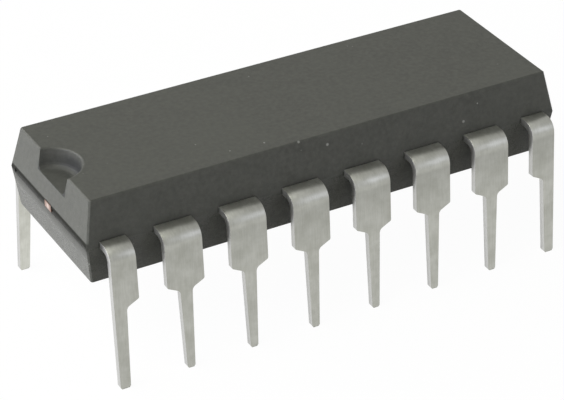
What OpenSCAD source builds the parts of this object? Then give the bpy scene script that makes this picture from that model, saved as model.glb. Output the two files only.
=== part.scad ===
// Dual in-line integrated circuit with sixteen leads.
// The origin lies midway between the rows, at the level of the lead tips.
// X runs along the package away from its notch, and Z points up.
// Lead 1 is the front lead beside the notch, and the count goes round
// the package against the clock, seen from above.

/* [Package body] */
// Width of the body at its parting line
body_w = 6.35; // [6.1:0.05:6.6]
// Distance from the last lead's centre line to the body's end
end_margin = 0.735; // [0.6:0.005:0.9]
// Height of the upper half, above the parting line
upper_h = 1.65; // [1.45:0.05:1.85]
// Height of the lower half, below the parting line
lower_h = 1.6; // [1.4:0.05:1.8]
// Mould draft of the upper half, in degrees
upper_draft = 11; // [7:0.5:12]
// Mould draft of the lower half, in degrees
lower_draft = 7.5; // [5:0.5:10]
// Width of the flat that breaks each outer edge
edge_break = 0.08; // [0.04:0.01:0.12]

/* [Notch and mould marks] */
// Radius of the half-round notch at the top face
notch_r = 1.15; // [0.9:0.05:1.3]
// Depth of the notch
notch_depth = 0.75; // [0.5:0.05:0.9]
// Draft of the notch's wall, in degrees
notch_draft = 9; // [2:1:15]
// Radius of the rounded rim of the notch
notch_rim_r = 0.08; // [0.04:0.01:0.12]
// Radius between the wall and the floor of the notch
notch_floor_r = 0.25; // [0.1:0.05:0.4]
// Height above the parting line of the step left in each end where its flash was trimmed
step_rise = 0.06; // [0.02:0.01:0.1]
// Drop below the parting line to which that step slopes out
step_drop = 0.14; // [0.1:0.01:0.2]
// Depth of the step at its top
step_depth = 0.12; // [0.06:0.01:0.16]
// Distance from the step's ends to the body's sides
step_stop = 0.35; // [0.2:0.05:0.8]
// Radius of the round ejector marks on the underside
ejector_r = 0.75; // [0.5:0.05:1]
// Depth of the ejector marks
ejector_depth = 0.06; // [0.04:0.01:0.1]
// Distance from an ejector mark's centre to the body's end
ejector_inset = 3.2; // [2.5:0.1:4.5]

/* [Leads outside the body] */
// Spacing of the leads along a row
pitch = 2.54; // [2.4:0.01:2.6]
// Thickness of the lead frame's sheet
sheet_t = 0.25; // [0.2:0.01:0.3]
// Gap between the body's side and the inner face of a lead
side_gap = 0.555; // [0.45:0.005:0.7]
// Inside radius of the lead's bend
bend_r = 0.28; // [0.2:0.01:0.35]
// Outward lean of the legs, in degrees
splay = 5; // [0:0.5:7]
// Width of the wide upper part of a lead
wide_w = 1.45; // [1.3:0.05:1.6]
// Width of the narrow leg where it leaves the shoulder
neck_w = 0.48; // [0.42:0.01:0.55]
// Width of the narrow leg at its tip
tip_w = 0.31; // [0.26:0.01:0.38]
// Length of the narrow leg from its tip to the shoulder
leg_l = 3.15; // [2.9:0.05:3.8]
// Height of the sloping shoulder
shoulder_h = 0.24; // [0.15:0.01:0.4]
// Radius in the corner between the leg and its shoulder
neck_r = 0.2; // [0.1:0.01:0.3]
// Radius of the shoulder's outer corner
shoulder_r = 0.08; // [0.04:0.01:0.12]
// Height of the body's underside above the shoulders
standoff = 0.32; // [0.2:0.01:0.5]
// Width of the bevel on each side of a tip
tip_bevel_w = 0.05; // [0.03:0.01:0.08]
// Height of that bevel
tip_bevel_h = 0.07; // [0.04:0.01:0.12]

/* [Lead frame inside the body] */
// How far the wide part runs into the body
root_l = 0.62; // [0.5:0.01:0.7]
// Radius of the moulding lock hole through each root
lock_r = 0.17; // [0.1:0.01:0.2]
// Width of the fingers
finger_w = 0.45; // [0.35:0.01:0.5]
// Distance from a root's inner end to the first turn of its finger
knee_in = 0.18; // [0.12:0.01:0.22]
// Length of the straight tip of a finger at the paddle's long sides
straight_l = 0.36; // [0.3:0.01:0.5]
// Gap between a finger tip and the paddle
tip_gap = 0.3; // [0.2:0.01:0.35]
// Gap between neighbouring fingers at the paddle's ends
finger_gap = 0.2; // [0.15:0.01:0.22]
// Spacing of the finger tips along the paddle's long sides
fan_pitch = 1.2; // [1:0.05:1.3]
// Length of the die paddle
paddle_l = 5; // [4.4:0.1:5.4]
// Width of the die paddle
paddle_w = 2.6; // [2.3:0.05:2.7]
// Width of the tie bars that carry the paddle
tie_w = 0.5; // [0.4:0.01:0.55]
// Drop of the paddle below the fingers
downset = 0.2; // [0.1:0.01:0.3]
// Length of the sloping part of each tie bar
slope_l = 0.35; // [0.25:0.01:0.5]

/* [Die and bond wires] */
// Length of the die
die_l = 2.4; // [1.8:0.1:3]
// Width of the die
die_w = 1.7; // [1.5:0.05:1.9]
// Thickness of the die
die_t = 0.28; // [0.2:0.01:0.32]
// Thickness of the adhesive under the die
attach_t = 0.04; // [0.03:0.01:0.06]
// How far the adhesive shows round the die
attach_rim = 0.1; // [0.05:0.01:0.2]
// Width across the corners of a bond wire
wire_d = 0.03; // [0.025:0.001:0.04]
// Radius of the ball that joins a wire to the die
ball_r = 0.04; // [0.032:0.001:0.05]
// Height of that ball
ball_h = 0.03; // [0.02:0.001:0.04]
// Rise of a wire's arch above the straight line between its ends
loop_h = 0.22; // [0.15:0.01:0.3]
// Height of the flat stitch that joins a wire to its finger
stitch_h = 0.02; // [0.015:0.001:0.03]
// Distance from a pad's centre to the die's edge
pad_inset = 0.09; // [0.07:0.01:0.15]
// Spacing of the pads along the die's long sides
pad_pitch = 0.6; // [0.4:0.05:0.7]
// Spacing of the pads along the die's ends
end_pad_pitch = 0.36; // [0.25:0.01:0.4]
// Distance from a finger's tip to the wire's stitch on it
stitch_inset = 0.18; // [0.12:0.01:0.25]

/* [Hidden] */
$fn = 48;
leads_per_side = 8;
lead_count = 2 * leads_per_side;
columns_per_end = leads_per_side / 2;
function two_digits(n) = str(n < 10 ? "0" : "", n);
function lead_name(n) = str("lead_", two_digits(n));
function wire_name(n) = str("bond_wire_", two_digits(n));

// Levels above the lead tips
neck_z = leg_l;
shoulder_z = neck_z + shoulder_h;
bottom_z = shoulder_z + standoff;
parting_z = bottom_z + lower_h;
top_z = parting_z + upper_h;
finger_top_z = parting_z + sheet_t / 2;
paddle_z = parting_z - downset;
paddle_top_z = paddle_z + sheet_t / 2;
die_bottom_z = paddle_top_z + attach_t;
die_top_z = die_bottom_z + die_t;

// Outline of the body
body_l = (leads_per_side - 1) * pitch + 2 * end_margin;
upper_inset = upper_h * tan(upper_draft);
lower_inset = lower_h * tan(lower_draft);

// The bend outside the body: its centre's distance from the middle plane, and its height
bend_out = body_w / 2 + side_gap - bend_r;
bend_z = parting_z - sheet_t / 2 - bend_r;
outer_bend_r = bend_r + sheet_t;

// Where the roots and the finger tips lie
root_y = -(body_w / 2 - root_l);
knee_y = root_y + knee_in;
side_tip_y = -(paddle_w / 2 + tip_gap);
side_knee_y = side_tip_y - straight_l;
end_tip_x = paddle_l / 2 + tip_gap;

// Room that a cut takes past the face that it opens
past = 1;
// Flats round a bond wire, and steps in a rounded corner of an outline
wire_flats = 8;
corner_steps = 4;

copper = [0.72, 0.45, 0.3];
tinned = [0.68, 0.68, 0.66];
epoxy = [0.3, 0.3, 0.29];

// Column 0 is nearest the middle of the package, and the last column is the end lead.
function column_x(column) = (column + 0.5) * pitch;
function is_end(column) = column == columns_per_end - 1;
function is_side_finger(column) = column < columns_per_end / 2;
function end_row(column) = columns_per_end - 1 - column;

// Which column, end and row a lead number stands for
function place_along(n) = n <= leads_per_side ? n - 1 : lead_count - n;
function at_left(n) = place_along(n) < leads_per_side / 2;
function at_back(n) = n > leads_per_side;
function column_of(n) = at_left(n)
    ? columns_per_end - 1 - place_along(n)
    : place_along(n) - columns_per_end;

// A strip of width w along a path: both edges, with mitred corners
function unit(v) = v / norm(v);
function normal(path, i) = let (d = unit(path[i + 1] - path[i])) [-d[1], d[0]];
function mitre(a, b) = (a + b) / (1 + a * b);
function edge(path, offset) = let (last = len(path) - 1) [
    for (i = [0:last])
        path[i] + offset * mitre(normal(path, max(i - 1, 0)), normal(path, min(i, last - 1)))
];
function backwards(list) = [for (i = [len(list) - 1:-1:0]) list[i]];
function strip(path, w) = concat(edge(path, w / 2), backwards(edge(path, -w / 2)));

// The arc of radius r that rounds the corner b between a and c
function rounded(a, b, c, r) = let (
    to_a = unit(a - b),
    to_c = unit(c - b),
    half = acos(to_a * to_c) / 2,
    centre = b + unit(to_a + to_c) * r / sin(half),
    from = b + to_a * r / tan(half) - centre,
    to = b + to_c * r / tan(half) - centre,
    start = atan2(from[1], from[0]),
    turn = atan2(from[0] * to[1] - from[1] * to[0], from * to)
) [
    for (i = [0:corner_steps])
        let (angle = start + turn * i / corner_steps)
            centre + r * [cos(angle), sin(angle)]
];

// Where the wires start on the die and land on the fingers
function end_tip_y(column) = -(tie_w / 2 + finger_gap + finger_w / 2
    + end_row(column) * (finger_w + finger_gap));
function finger_tip(column) = is_side_finger(column)
    ? [(column + 0.5) * fan_pitch, side_tip_y]
    : [end_tip_x, end_tip_y(column)];
function stitch_at(column) = finger_tip(column)
    + (is_side_finger(column) ? [0, -stitch_inset] : [stitch_inset, 0]);
function pad_at(column) = is_side_finger(column)
    ? [(column + 0.5) * pad_pitch, -(die_w / 2 - pad_inset)]
    : [die_l / 2 - pad_inset, -(end_row(column) + 0.5) * end_pad_pitch];

// A finger's centre line, from inside the root to the tip
function finger_path(column) = let (
    x = column_x(column),
    tip = finger_tip(column),
    bend = is_side_finger(column)
        ? [tip[0], side_knee_y]
        : [x - (tip[1] - knee_y), tip[1]]
) [[x, root_y - lock_r / 2], [x, knee_y], bend, tip];

// Puts one quarter's shape at the place of lead n
module in_quarter(n) {
    mirror([at_left(n) ? 1 : 0, 0, 0])
        mirror([0, at_back(n) ? 1 : 0, 0])
            children();
}

// Turns an outline of distance from the middle plane against height into a bar along X
module along_row() {
    rotate([90, 0, -90])
        linear_extrude(height = 2 * body_l, center = true)
            children();
}

// Everything inside a bent surface of radius r, from the distance left, down to the level low
module inside_bend(r, left, low) {
    leg_top = [bend_out + r * cos(splay), bend_z + r * sin(splay)];
    along_row()
        translate([left, low])
            square([bend_out - left, bend_z + r - low]);
    along_row()
        translate([bend_out, bend_z])
            circle(r);
    along_row()
        polygon([
            [bend_out - bend_r, low],
            [bend_out - bend_r, bend_z],
            [bend_out, bend_z],
            leg_top,
            [leg_top[0] + (leg_top[1] - low) * tan(splay), low]
        ]);
}

// The sheet, bent down at the side of the body
module bent_sheet() {
    difference() {
        inside_bend(outer_bend_r, 0, 0);
        inside_bend(bend_r, -past, -past);
    }
}

// One side of a lead's front outline, from the tip up, as distances from its centre line
function flared_side() = let (
    tip = [tip_w / 2, tip_bevel_h],
    neck = [neck_w / 2, neck_z],
    shoulder = [wide_w / 2, shoulder_z],
    top = [wide_w / 2, top_z]
) concat(
    [[tip_w / 2 - tip_bevel_w, 0], tip],
    rounded(tip, neck, shoulder, neck_r),
    rounded(neck, shoulder, top, shoulder_r),
    [top]
);
function straight_side() = [
    [neck_w / 2 - tip_bevel_w, 0],
    [neck_w / 2, tip_bevel_h],
    [neck_w / 2, top_z]
];

// Front outline of a lead: the end lead has its shoulder on the inner side only
module front_outline(column) {
    outer = is_end(column) ? straight_side() : flared_side();
    inner = [for (p = flared_side()) [-p[0], p[1]]];
    translate([column_x(column), 0])
        polygon(concat(outer, backwards(inner)));
}

// A stamped and bent lead, for the quarter with +X and -Y
module quarter_lead(column) {
    reach = body_w;
    difference() {
        intersection() {
            bent_sheet();
            union() {
                translate([0, root_y, 0])
                    rotate([90, 0, 0])
                        linear_extrude(height = reach)
                            front_outline(column);
                translate([0, 0, bottom_z])
                    linear_extrude(height = top_z - bottom_z)
                        polygon(strip(finger_path(column), finger_w));
            }
        }
        translate([column_x(column), root_y - root_l / 2, bottom_z])
            cylinder(h = top_z - bottom_z, r = lock_r);
    }
}

module lead(n) {
    color(tinned)
        in_quarter(n)
            quarter_lead(column_of(n));
}

// The paddle and its tie bars, stamped from the same sheet and set down between them
module die_paddle() {
    inner = paddle_l / 2 + sheet_t / 2;
    outer = inner + slope_l;
    end = body_l / 2;
    color(copper)
        intersection() {
            rotate([90, 0, 0])
                linear_extrude(height = body_w, center = true)
                    polygon(strip([
                        [-end, parting_z],
                        [-outer, parting_z],
                        [-inner, paddle_z],
                        [inner, paddle_z],
                        [outer, parting_z],
                        [end, parting_z]
                    ], sheet_t));
            union() {
                translate([0, 0, parting_z])
                    cube([paddle_l, paddle_w, body_w], center = true);
                translate([0, 0, parting_z])
                    cube([body_l, tie_w, body_w], center = true);
            }
        }
}

module die_attach() {
    color("silver")
        translate([0, 0, paddle_top_z + attach_t / 2])
            cube([die_l + 2 * attach_rim, die_w + 2 * attach_rim, attach_t], center = true);
}

module silicon_die() {
    color("slategray")
        translate([0, 0, die_bottom_z + die_t / 2])
            cube([die_l, die_w, die_t], center = true);
}

// A wire's arch in its own upright plane: the pad at the origin, the stitch at [span, drop]
module wire_arch(span, drop) {
    start = [0, ball_h / 2];
    chord = [span, drop + stitch_h / 2] - start;
    half = norm(chord) / 2;
    arch_r = (half * half + loop_h * loop_h) / (2 * loop_h);
    half_angle = asin(half / arch_r);
    tilt = atan2(chord[1], chord[0]);
    middle = start + chord / 2;
    centre = middle + (arch_r - loop_h) * [sin(tilt), -cos(tilt)];
    cylinder(h = ball_h, r = ball_r);
    translate([centre[0], 0, centre[1]])
        rotate([90, 0, 0])
            rotate([0, 0, 90 + tilt - half_angle])
                rotate_extrude(angle = 2 * half_angle)
                    translate([arch_r, 0])
                        circle(wire_d / 2, $fn = wire_flats);
    translate([span, 0, drop])
        cylinder(h = stitch_h, r = ball_r);
}

module bond_wire(n) {
    pad = pad_at(column_of(n));
    run = stitch_at(column_of(n)) - pad;
    drop = finger_top_z - die_top_z;
    color("gold")
        in_quarter(n)
            translate([pad[0], pad[1], die_top_z])
                rotate([0, 0, atan2(run[1], run[0])])
                    difference() {
                        wire_arch(norm(run), drop);
                        translate([norm(run), 0, drop - sheet_t / 2])
                            cube([4 * ball_r, 4 * ball_r, sheet_t], center = true);
                    }
}

// One side of the body's section, half_w from the middle at the parting line
function drafted_side(half_w, lean) = let (
    foot = half_w - lean * lower_inset,
    crest = half_w - lean * upper_inset
) [
    [foot - edge_break / 2, bottom_z],
    [foot + edge_break / 2 * lean * tan(lower_draft), bottom_z + edge_break / 2],
    [half_w, parting_z],
    [crest + edge_break / 2 * lean * tan(upper_draft), top_z - edge_break / 2],
    [crest - edge_break / 2, top_z]
];

// A bar along X with the drafted section: lean is 1 across a face and more across a corner
module drafted_bar(half_w, lean) {
    side = drafted_side(half_w, lean);
    rotate([90, 0, 90])
        linear_extrude(height = 2 * body_l, center = true)
            polygon(concat(side, [for (p = backwards(side)) [-p[0], p[1]]]));
}

// Both halves of the moulding: drafted on all sides, with broken edges and corners
module body_blank() {
    corner = (body_l + body_w) / 2 / sqrt(2);
    intersection() {
        drafted_bar(body_w / 2, 1);
        rotate([0, 0, 90])
            drafted_bar(body_l / 2, 1);
        rotate([0, 0, 45])
            drafted_bar(corner - edge_break / 2, sqrt(2));
        rotate([0, 0, -45])
            drafted_bar(corner - edge_break / 2, sqrt(2));
    }
}

// The half-round notch, its centre halfway down the slope of the end
module notch() {
    foot = [notch_r - notch_depth * tan(notch_draft), -notch_depth];
    rim = [notch_r, 0];
    flat = [notch_r + past, 0];
    translate([-(body_l - upper_inset) / 2, 0, top_z])
        rotate_extrude()
            polygon(concat(
                [[0, past], [0, -notch_depth]],
                rounded([0, -notch_depth], foot, rim, notch_floor_r),
                rounded(foot, rim, flat, notch_rim_r),
                [[notch_r + notch_rim_r, past]]
            ));
}

// The step along the parting line of both ends, deepest at its top
module trimmed_steps() {
    end = body_l / 2;
    inner = [end - step_depth, parting_z + step_rise];
    outer = [end - step_drop * tan(lower_draft), parting_z - step_drop];
    run = (outer - inner) * past / step_depth;
    for (side = [0, 1])
        mirror([side, 0, 0])
            rotate([90, 0, 0])
                linear_extrude(height = body_w - 2 * step_stop, center = true)
                    polygon([inner, [end + past, inner[1]], inner + run]);
}

module ejector_marks() {
    for (side = [-1, 1])
        translate([side * (body_l / 2 - ejector_inset), 0, bottom_z - past])
            cylinder(h = past + ejector_depth, r = ejector_r);
}

// The moulded body encloses every inner piece exactly
module package_body() {
    color(epoxy)
        difference() {
            body_blank();
            notch();
            trimmed_steps();
            ejector_marks();
            for (n = [1:lead_count]) {
                lead(n);
                bond_wire(n);
            }
            die_paddle();
            die_attach();
            silicon_die();
        }
}

package_body();
for (n = [1:lead_count])
    lead(n);
die_paddle();
die_attach();
silicon_die();
for (n = [1:lead_count])
    bond_wire(n);
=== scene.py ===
import math

import bpy
from mathutils import Matrix, Vector

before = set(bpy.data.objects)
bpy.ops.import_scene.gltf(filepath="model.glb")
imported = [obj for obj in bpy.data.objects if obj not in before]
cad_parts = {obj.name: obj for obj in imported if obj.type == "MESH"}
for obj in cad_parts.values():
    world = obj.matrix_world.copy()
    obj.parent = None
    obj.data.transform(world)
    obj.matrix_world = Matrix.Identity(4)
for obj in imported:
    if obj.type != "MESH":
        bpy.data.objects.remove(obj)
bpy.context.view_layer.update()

MM = 0.001

# The camera, as fitted to the photograph: angles in degrees, lengths in mm
AZIMUTH = -29.449
ELEVATION = 32.074
ROLL = 0.143
DISTANCE = 88.401
AIM = Vector((-0.217, 0.0, 2.680))
LENS = 151.69
SENSOR = 36.0
CLIP_START = 1.0
CLIP_END = 10000.0

# The floor: its half width in mm and its paint
FLOOR_HALF = 600.0
FLOOR_PAINT = 0.95
# The share of it that is plain white, to the camera and in reflections; the rest takes light
FLOOR_GLOW = 0.965
FLOOR_MIRRORED = 1.0
# The surround's strength in reflections and as light; to the camera it is 1
WORLD_MIRRORED = 0.58
WORLD_LIGHT = 0.05

# The lamps: name, place and size in mm, radiance, colour
LAMPS = (
    ("high", (-200, -40, 300), (240, 200), 5.0, (1.0, 1.0, 0.9)),
    ("key", (-250, 150, 165), (420, 280), 2.5, (1.0, 1.0, 0.9)),
    ("side", (-290, 70, 80), (440, 150), 4.1, (0.96, 0.97, 1.2)),
    ("back", (0, 250, 200), (200, 160), 0.4, (1.0, 1.0, 1.0)),
    ("front", (200, -250, 150), (200, 160), 1.15, (0.94, 0.97, 1.15)),
)
LAMP_AIM = Vector((0, 0, 4))

# The height of the parting line, and how far out the end faces start, in mm
PARTING_Z = 5.31
END_X = 9.2
# The height at which the leads' bends pass into their straight sides, in mm
BEND_Z = 5.1
# The notch: its centre along the length, its radius and the height of its floor, in mm
NOTCH_X = -9.465
NOTCH_R = 1.15
NOTCH_Z = 6.21
# Pale specks on the front of the package, in mm
SPECKS = ((5.67, -3.05, 5.94), (-0.03, -2.93, 6.55), (-1.16, -2.86, 6.95))

# Colours of the moulded epoxy, of its specks and stain, and of the painted shade in its groove,
# crevices, recesses and notch
EPOXY_DARK = (0.063, 0.064, 0.0565)
EPOXY_PALE = (0.089, 0.0905, 0.080)
EPOXY_CLOUD = (0.086, 0.0885, 0.077)
SPECK = (0.36, 0.36, 0.34)
STAIN = (0.012, 0.012, 0.009)
GROOVE_SHADE = (0.010, 0.010, 0.008)
CREVICE_SHADE = (0.006, 0.006, 0.005)
RECESS_SHADE = (0.012, 0.013, 0.018)
NOTCH_SHADE = (0.010, 0.011, 0.014)
# Colours of the metals, with the painted highlight on the copper
TIN_DARK = (0.392, 0.395, 0.352)
TIN_PALE = (0.498, 0.501, 0.459)
TIN_SHEARED = (0.57, 0.57, 0.55)
COPPER_DARK = (0.38, 0.25, 0.20)
COPPER_PALE = (0.48, 0.34, 0.28)
COPPER_HIGHLIGHT = (0.74, 0.61, 0.55)

# The reach of the two painted shades in crevices and recesses, and the radius of the body's edges,
# in mm
CREVICE_REACH = 0.16
RECESS_REACH = 1.5
BODY_EDGE = 0.025
# The rounding of the leads' edges in mm, and the angle in degrees above which an edge gets it
LEAD_EDGE = 0.02
LEAD_EDGE_ANGLE = 40
WELD_DISTANCE = 1e-7
# The depth of the surface grain in mm
EPOXY_RELIEF = 0.007
METAL_RELIEF = 0.003


def make_camera():
    """Puts the camera where the photograph was taken from."""
    az, el, roll = (math.radians(a) for a in (AZIMUTH, ELEVATION, ROLL))
    back = Vector((math.sin(az) * math.cos(el), -math.cos(az) * math.cos(el), math.sin(el)))
    right = Vector((math.cos(az), math.sin(az), 0.0))
    up = back.cross(right)
    turned_right = math.cos(roll) * right + math.sin(roll) * up
    turned_up = back.cross(turned_right)
    data = bpy.data.cameras.new("camera")
    data.sensor_fit = "HORIZONTAL"
    data.sensor_width = SENSOR
    data.lens = LENS
    data.clip_start = CLIP_START * MM
    data.clip_end = CLIP_END * MM
    camera = bpy.data.objects.new("camera", data)
    bpy.context.scene.collection.objects.link(camera)
    place = Matrix((turned_right, turned_up, back)).transposed().to_4x4()
    place.translation = (AIM + DISTANCE * back) * MM
    camera.matrix_world = place
    bpy.context.scene.camera = camera


def new_material(name):
    """A material with an empty node tree; returns it with its tree and its output node."""
    material = bpy.data.materials.new(name)
    material.use_nodes = True
    tree = material.node_tree
    tree.nodes.clear()
    output = tree.nodes.new("ShaderNodeOutputMaterial")
    return material, tree, output


class Graph:
    """A new material, with short ways to add and join its shader nodes."""

    def __init__(self, name):
        self.material, self.tree, self.output = new_material(name)
        self.metres = self.add("ShaderNodeTexCoord").outputs["Object"]
        self.mm = self.scaled((1000.0, 1000.0, 1000.0))

    def add(self, kind, links=None, values=None, **settings):
        """A node with these settings, its inputs linked or given values."""
        node = self.tree.nodes.new(kind)
        for key, value in settings.items():
            setattr(node, key, value)
        for key, value in (values or {}).items():
            node.inputs[key].default_value = value
        for key, source in (links or {}).items():
            self.tree.links.new(source, node.inputs[key])
        return node

    def scaled(self, scale):
        """Object coordinates times a scale for each axis."""
        mapping = self.add("ShaderNodeMapping", {"Vector": self.metres}, {"Scale": scale})
        return mapping.outputs["Vector"]

    def place(self):
        """The object coordinates in mm, as outputs X, Y and Z."""
        return self.add("ShaderNodeSeparateXYZ", {"Vector": self.mm}).outputs

    def noise(self, per_mm, detail=2.0, rough=0.5, vector=None):
        """Noise from 0 to 1 with so many cells to a millimetre."""
        node = self.add(
            "ShaderNodeTexNoise",
            {"Vector": vector or self.mm},
            {"Scale": per_mm, "Detail": detail, "Roughness": rough},
        )
        return node.outputs["Fac"]

    def ranged(self, value, low, high, out_low, out_high):
        """Maps low..high to out_low..out_high, and no further."""
        node = self.add(
            "ShaderNodeMapRange",
            {"Value": value},
            {"From Min": low, "From Max": high, "To Min": out_low, "To Max": out_high},
        )
        return node.outputs["Result"]

    def math(self, operation, a, b=0.0):
        """One operation on one or two values, each a number or a link."""
        node = self.add("ShaderNodeMath", operation=operation)
        for socket, value in zip(node.inputs, (a, b)):
            if isinstance(value, (int, float)):
                socket.default_value = value
            else:
                self.tree.links.new(value, socket)
        return node.outputs[0]

    def plus(self, a, b):
        return self.math("ADD", a, b)

    def minus(self, a, b):
        return self.math("SUBTRACT", a, b)

    def times(self, a, b):
        return self.math("MULTIPLY", a, b)

    def weighed(self, *parts):
        """The sum of values, each times its weight."""
        total = None
        for value, weight in parts:
            part = self.times(value, weight)
            total = part if total is None else self.plus(total, part)
        return total

    def wander(self, noise, reach):
        """Noise as a shift to both sides of 0."""
        return self.times(self.minus(noise, 0.5), reach)

    def mixed(self, factor, a, b):
        """A mix of two colours, each a tuple or a link."""
        node = self.add("ShaderNodeMix", {"Factor": factor}, data_type="RGBA")
        for key, value in (("A", a), ("B", b)):
            socket = next(s for s in node.inputs if s.name == key and s.type == "RGBA")
            if isinstance(value, tuple):
                socket.default_value = (*value, 1.0)
            else:
                self.tree.links.new(value, socket)
        return next(s for s in node.outputs if s.type == "RGBA")

    def distance(self, spot, axes=(1.0, 1.0, 1.0)):
        """The distance in mm to a spot, along the axes that count."""
        plan = self.add("ShaderNodeVectorMath", {0: self.mm}, {1: axes}, operation="MULTIPLY")
        node = self.add(
            "ShaderNodeVectorMath", {0: plan.outputs["Vector"]}, {1: spot}, operation="DISTANCE"
        )
        return node.outputs["Value"]

    def normal(self, axis):
        """One part of the surface's normal."""
        normal = self.add("ShaderNodeNewGeometry").outputs["Normal"]
        return self.add("ShaderNodeSeparateXYZ", {"Vector": normal}).outputs[axis]

    def facing_x(self):
        """How far a surface faces along the length: 0 to 1."""
        return self.math("ABSOLUTE", self.normal("X"))

    def open_sky(self, reach_mm):
        """How open a point is to its surroundings within that reach: 0 to 1."""
        values = {"Distance": reach_mm * MM}
        return self.add("ShaderNodeAmbientOcclusion", {}, values, samples=8).outputs["AO"]

    def bump(self, height, depth_mm, normal=None):
        """A bump of that depth for heights from 0 to 1."""
        links = {"Height": height}
        if normal is not None:
            links["Normal"] = normal
        node = self.add("ShaderNodeBump", links, {"Strength": 1.0, "Distance": depth_mm * MM})
        return node.outputs["Normal"]

    def surface(self, links, values):
        """Ends the material with a principled shader, and returns it."""
        shader = self.add("ShaderNodeBsdfPrincipled", links, values)
        self.tree.links.new(shader.outputs["BSDF"], self.output.inputs["Surface"])
        return self.material


def pale_specks(g):
    """Rare specks scattered all over, and those seen on the front: 0 to 1."""
    cells = g.add("ShaderNodeTexVoronoi", {"Vector": g.mm}, {"Scale": 2.2}, feature="F1")
    rare = g.ranged(g.noise(2.9, 0.0, 0.5), 0.66, 0.7, 0.0, 1.0)
    speck = g.times(g.ranged(cells.outputs["Distance"], 0.045, 0.09, 0.75, 0.0), rare)
    for spot in SPECKS:
        seen = g.ranged(g.distance(spot), 0.03, 0.07, 0.7, 0.0)
        speck = g.math("MAXIMUM", speck, seen)
    return speck


def parting_shadow_and_stain(g, patches):
    """The painted shadow in the groove along the parting line of the end faces, and the stain below
    it: 0 to 1.
    """
    place = g.place()
    end = g.ranged(g.math("ABSOLUTE", place["X"]), END_X, END_X + 0.1, 0.0, 1.0)
    end = g.times(end, g.ranged(g.facing_x(), 0.6, 0.75, 0.0, 1.0))
    below = g.ranged(place["Z"], PARTING_Z + 0.12, PARTING_Z + 0.17, 1.0, 0.0)
    end = g.times(below, end)
    ragged = g.plus(place["Z"], g.wander(patches, 0.14))
    # Painted shadow: the groove is darkened up to the overhanging step above it
    groove = g.ranged(ragged, PARTING_Z - 0.2, PARTING_Z - 0.05, 0.0, 1.0)
    stain = g.ranged(ragged, PARTING_Z - 0.62, PARTING_Z - 0.16, 0.0, 1.0)
    return g.times(groove, end), g.times(stain, end)


def notch_shade(g):
    """Painted shade inside the notch, most on the wall that faces the end: 0 to 1."""
    away = g.distance((NOTCH_X, 0.0, 0.0), (1.0, 1.0, 0.0))
    inside = g.ranged(away, NOTCH_R - 0.06, NOTCH_R, 1.0, 0.0)
    above = g.ranged(g.place()["Z"], NOTCH_Z - 0.02, NOTCH_Z - 0.01, 0.0, 1.0)
    wall = g.ranged(g.facing_x(), 0.5, 0.98, 0.14, 0.62)
    return g.times(g.times(inside, above), wall)


def epoxy_material():
    """Dark moulded epoxy: a fine grain, faint clouds, rare specks, a stain, and painted shade in
    the parting groove, crevices, recesses and notch.
    """
    g = Graph("moulded_epoxy")
    grain = g.noise(22.0, 3.0, 0.65)
    fine = g.noise(60.0, 2.0, 0.5)
    patches = g.noise(6.0, 2.0, 0.5)
    blotch = g.noise(1.6, 4.0, 0.6)
    cloud = g.noise(0.22, 2.0, 0.5)
    groove, stain = parting_shadow_and_stain(g, patches)
    # Painted shade: darker and less glossy where the surface is hemmed in, in crevices and in
    # recesses such as the notch and between the leads
    crevice_shade = g.ranged(g.open_sky(CREVICE_REACH), 0.35, 0.8, 0.0, 1.0)
    recess_shade = g.ranged(g.open_sky(RECESS_REACH), 0.35, 0.8, 0.62, 1.0)
    shade = notch_shade(g)

    mottle = g.weighed((grain, 0.3), (patches, 0.4), (blotch, 0.3))
    colour = g.mixed(g.ranged(mottle, 0.38, 0.62, 0.0, 1.0), EPOXY_DARK, EPOXY_PALE)
    colour = g.mixed(g.ranged(cloud, 0.35, 0.65, 0.0, 0.35), colour, EPOXY_CLOUD)
    colour = g.mixed(pale_specks(g), colour, SPECK)
    colour = g.mixed(g.times(stain, 0.45), colour, STAIN)
    # Painted shadow in the groove under the step along the parting line
    colour = g.mixed(g.times(groove, 0.8), colour, GROOVE_SHADE)
    colour = g.mixed(crevice_shade, CREVICE_SHADE, colour)
    colour = g.mixed(recess_shade, RECESS_SHADE, colour)
    # Painted shade in the notch
    colour = g.mixed(shade, colour, NOTCH_SHADE)

    # Less sheen in the painted groove shadow and the painted notch shade, and on the stain
    matt = g.weighed((groove, 0.45), (stain, 0.3), (shade, 0.5))
    # The sheen is also cut in crevices and recesses, as painted shade on the reflections
    sheen = g.times(g.minus(1.0, matt), g.times(crevice_shade, 0.2))
    sheen = g.times(sheen, recess_shade)

    # Smoother below the parting line, which gives the lower half its tone
    lower = g.ranged(g.place()["Z"], PARTING_Z - 0.05, PARTING_Z + 0.05, -0.2, 0.0)
    rough = g.ranged(g.plus(grain, blotch), 0.7, 1.3, 0.40, 0.56)
    rough = g.plus(g.plus(rough, lower), g.times(stain, 0.15))

    edges = g.add("ShaderNodeBevel", {}, {"Radius": BODY_EDGE * MM}, samples=4)
    relief = g.weighed((grain, 0.75), (fine, 0.25))
    return g.surface(
        {
            "Base Color": colour,
            "Roughness": rough,
            "Normal": g.bump(relief, EPOXY_RELIEF, edges.outputs["Normal"]),
            "Specular IOR Level": sheen,
        },
        {"IOR": 1.55},
    )


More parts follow.
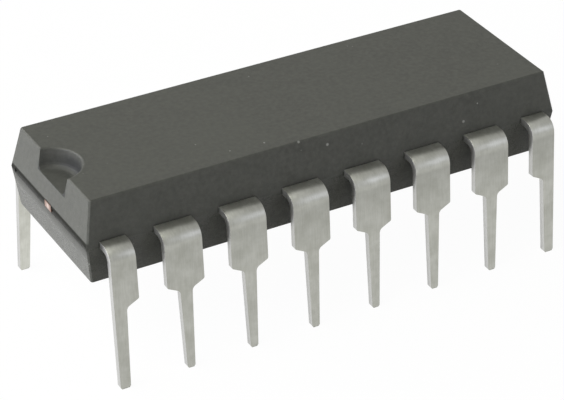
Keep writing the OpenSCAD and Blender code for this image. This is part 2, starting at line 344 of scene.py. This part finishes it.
def painted_bend_light(g, blotch):
    """Painted light and shade on a lead, about 1: a painted highlight on the bend, painted shade in
    the crease below it, lighter further down, and a brighter inner side.
    """
    place = g.place()
    height = g.plus(place["Z"], g.wander(blotch, 0.12))
    bend = g.ranged(height, BEND_Z - 0.25, BEND_Z + 0.05, 0.78, 1.12)
    fade = g.ranged(height, BEND_Z - 2.1, BEND_Z - 0.2, 1.28, 1.0)
    # The painted crease shade is deeper towards the end away from the notch
    depth = g.ranged(place["X"], -9.0, 3.0, 0.35, 1.0)
    crease = g.plus(g.times(g.minus(g.times(bend, fade), 1.0), depth), 1.0)
    # Painted light on the inner side, which faces the body
    outward = g.times(g.normal("Y"), g.math("SIGN", place["Y"]))
    inner = g.ranged(outward, -0.9, -0.5, 1.35, 1.0)
    return g.times(crease, inner)


def tin_material():
    """Satin tin plate: streaks, stains, pale sheared edges, and painted light: highlights on the
    bends, shade in the creases below them, bright inner sides.
    """
    g = Graph("tinned_copper")
    streaks = g.noise(1.0, 3.0, 0.6, g.scaled((30000.0, 6000.0, 1200.0)))
    grain = g.noise(30.0, 3.0, 0.6)
    blotch = g.noise(1.8, 4.0, 0.6)
    tone = g.weighed((streaks, 0.45), (blotch, 0.55))
    colour = g.mixed(g.ranged(tone, 0.38, 0.62, 0.0, 1.0), TIN_DARK, TIN_PALE)
    # The tin's colour with the painted light and shade of the bends
    painted_light_colour = g.add(
        "ShaderNodeVectorMath", {"Vector": colour, "Scale": painted_bend_light(g, blotch)}, operation="SCALE"
    )
    sheared = g.ranged(g.facing_x(), 0.75, 0.95, 0.0, 1.0)
    colour = g.mixed(sheared, painted_light_colour.outputs["Vector"], TIN_SHEARED)
    rough = g.ranged(g.plus(grain, streaks), 0.7, 1.3, 0.36, 0.5)
    relief = g.weighed((grain, 0.6), (streaks, 0.4))
    return g.surface(
        {"Base Color": colour, "Roughness": rough, "Normal": g.bump(relief, METAL_RELIEF)},
        {"Metallic": 1.0},
    )


def inner_material(name, low, high, rough_low, rough_high, metallic):
    """A finish of an inner piece, with grain in its colour, roughness and relief."""
    g = Graph(name)
    grain = g.noise(20.0, 3.0, 0.6)
    blotch = g.noise(3.0, 3.0, 0.6)
    colour = g.mixed(g.ranged(blotch, 0.3, 0.7, 0.0, 1.0), low, high)
    rough = g.ranged(grain, 0.3, 0.7, rough_low, rough_high)
    return g.surface(
        {"Base Color": colour, "Roughness": rough, "Normal": g.bump(grain, METAL_RELIEF)},
        {"Metallic": metallic},
    )


def copper_material():
    """Bare copper, with a painted highlight: a pale spot in the middle of each cut tie bar end."""
    g = Graph("bare_copper")
    grain = g.noise(20.0, 3.0, 0.6)
    blotch = g.noise(5.0, 3.0, 0.6)
    colour = g.mixed(g.ranged(blotch, 0.3, 0.7, 0.0, 1.0), COPPER_DARK, COPPER_PALE)
    # Painted highlight: a pale spot around the middle of the cut end
    away = g.distance((0.0, 0.0, PARTING_Z), (0.0, 1.0, 1.0))
    spot = g.ranged(g.plus(away, g.wander(blotch, 0.1)), 0.05, 0.15, 1.0, 0.0)
    colour = g.mixed(spot, colour, COPPER_HIGHLIGHT)
    rough = g.ranged(grain, 0.3, 0.7, 0.3, 0.45)
    return g.surface(
        {"Base Color": colour, "Roughness": rough, "Normal": g.bump(grain, METAL_RELIEF)},
        {"Metallic": 1.0},
    )


def finish_node(name, material, edge_mm=0.0):
    """Gives a CAD node its material and, with an edge radius, smooth shading and rounded edges."""
    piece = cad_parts[name]
    piece.data.materials.clear()
    piece.data.materials.append(material)
    if edge_mm:
        piece.data.polygons.foreach_set("use_smooth", [True] * len(piece.data.polygons))
        weld = piece.modifiers.new("weld", "WELD")
        weld.merge_threshold = WELD_DISTANCE
        edges = piece.modifiers.new("edges", "BEVEL")
        edges.width = edge_mm * MM
        edges.segments = 2
        edges.limit_method = "ANGLE"
        edges.angle_limit = math.radians(LEAD_EDGE_ANGLE)
        normals = piece.modifiers.new("normals", "WEIGHTED_NORMAL")
        normals.weight = 50


def ray_levels(tree, camera, mirrored, lighting):
    """One level for camera rays, one for glossy and transmission rays, one for those of light."""
    path = tree.nodes.new("ShaderNodeLightPath")
    level = None
    for ray, wanted in (("Camera", camera), ("Glossy", mirrored), ("Transmission", mirrored)):
        step = tree.nodes.new("ShaderNodeMath")
        step.operation = "MULTIPLY_ADD"
        tree.links.new(path.outputs["Is %s Ray" % ray], step.inputs[0])
        step.inputs[1].default_value = wanted - lighting
        step.inputs[2].default_value = lighting
        if level is not None:
            tree.links.new(level, step.inputs[2])
        level = step.outputs[0]
    return level


def make_floor():
    """A pale floor that the camera and reflections see as white, and that keeps the shadow."""
    material, tree, output = new_material("floor")
    diffuse = tree.nodes.new("ShaderNodeBsdfDiffuse")
    diffuse.inputs["Color"].default_value = (FLOOR_PAINT, FLOOR_PAINT, FLOOR_PAINT, 1.0)
    glow = tree.nodes.new("ShaderNodeEmission")
    glow.inputs["Color"].default_value = (1.0, 1.0, 1.0, 1.0)
    glow.inputs["Strength"].default_value = 1.0
    mix = tree.nodes.new("ShaderNodeMixShader")
    tree.links.new(ray_levels(tree, FLOOR_GLOW, FLOOR_MIRRORED, 0.0), mix.inputs["Fac"])
    tree.links.new(diffuse.outputs["BSDF"], mix.inputs[1])
    tree.links.new(glow.outputs["Emission"], mix.inputs[2])
    tree.links.new(mix.outputs["Shader"], output.inputs["Surface"])
    half = FLOOR_HALF * MM
    corners = [(-half, -half, 0), (half, -half, 0), (half, half, 0), (-half, half, 0)]
    mesh = bpy.data.meshes.new("floor")
    mesh.from_pydata(corners, [], [(0, 1, 2, 3)])
    mesh.materials.append(material)
    floor = bpy.data.objects.new("floor", mesh)
    bpy.context.scene.collection.objects.link(floor)


def make_world():
    """An even surround: white to the camera, dimmer in reflections, and faint as light."""
    world = bpy.data.worlds.new("surround")
    world.use_nodes = True
    tree = world.node_tree
    background = tree.nodes["Background"]
    background.inputs["Color"].default_value = (1.0, 1.0, 1.0, 1.0)
    level = ray_levels(tree, 1.0, WORLD_MIRRORED, WORLD_LIGHT)
    tree.links.new(level, background.inputs["Strength"])
    bpy.context.scene.world = world


def make_lamp(name, place, size, radiance, colour):
    """A soft rectangular lamp at a place in mm, turned to the middle of the part."""
    width, height = size
    data = bpy.data.lights.new(name, "AREA")
    data.color = colour
    data.shape = "RECTANGLE"
    data.size = width * MM
    data.size_y = height * MM
    data.energy = radiance * math.pi * width * height * MM * MM
    lamp = bpy.data.objects.new(name, data)
    bpy.context.scene.collection.objects.link(lamp)
    lamp.location = Vector(place) * MM
    lamp.rotation_mode = "QUATERNION"
    lamp.rotation_quaternion = (LAMP_AIM - Vector(place)).to_track_quat("-Z", "Y")


make_camera()
make_world()
make_floor()
for lamp in LAMPS:
    make_lamp(*lamp)
bpy.context.scene.view_settings.view_transform = "Standard"

tin = tin_material()
gold = inner_material("gold_wire", (0.78, 0.55, 0.2), (0.88, 0.64, 0.26), 0.15, 0.25, 1.0)
finishes = {
    "package_body": epoxy_material(),
    "die_paddle": copper_material(),
    "die_attach": inner_material(
        "silver_adhesive", (0.45, 0.45, 0.45), (0.6, 0.6, 0.6), 0.4, 0.6, 0.6
    ),
    "silicon_die": inner_material("silicon", (0.13, 0.14, 0.17), (0.19, 0.2, 0.23), 0.1, 0.2, 0.4),
}
for node in sorted(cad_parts):
    if node.startswith("lead_"):
        finish_node(node, tin, LEAD_EDGE)
    else:
        finish_node(node, finishes.get(node, gold))
